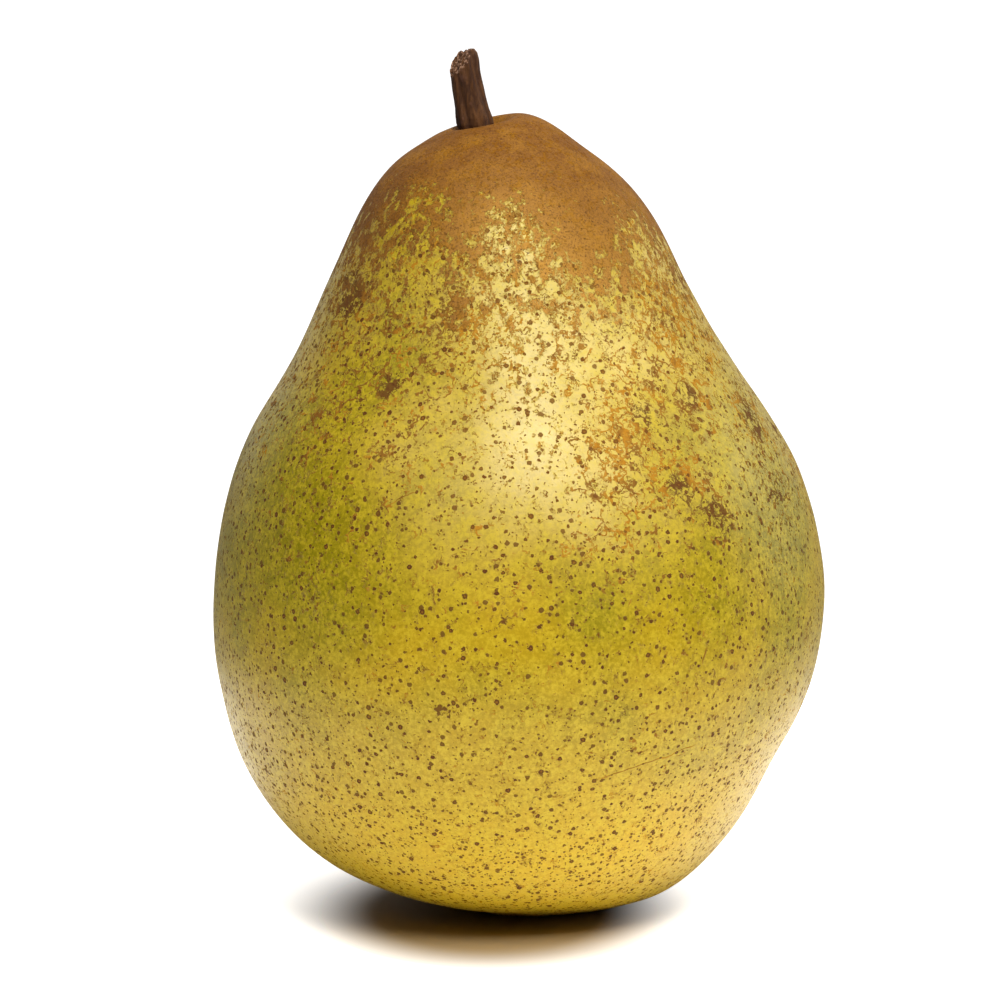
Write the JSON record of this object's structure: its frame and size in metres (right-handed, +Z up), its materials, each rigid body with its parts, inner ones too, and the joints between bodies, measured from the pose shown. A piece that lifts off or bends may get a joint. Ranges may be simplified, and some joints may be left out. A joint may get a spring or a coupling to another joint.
{
  "type": "pear",
  "caption": "Broad pear with a short woody stem leaning from its russet crown and a dried flower end in a basin underneath, standing on a small flat spot.",
  "frame": {"origin": "on the surface that the pear stands on, under the middle of its bounding box", "axes": "+Z up from the flower end to the stem; -Y is the front; the stem leans towards -X"},
  "size_m": [0.08, 0.08, 0.1122],
  "materials": {
    "skin": "satin waxy skin, golden green with brown russet and fine dark lenticels",
    "stem_wood": "dry brown wood with ridges along it",
    "sepal_husk": "matt, papery, dark brown",
    "stamen_tuft": "matt, dry, nearly black brown"
  },
  "bodies": {
    "root": {"fruit": "skin", "stem": "stem_wood", "sepal_1": "sepal_husk", "sepal_2": "sepal_husk", "sepal_3": "sepal_husk", "sepal_4": "sepal_husk", "sepal_5": "sepal_husk", "dried_stamens": "stamen_tuft"}
  },
  "joints": []
}
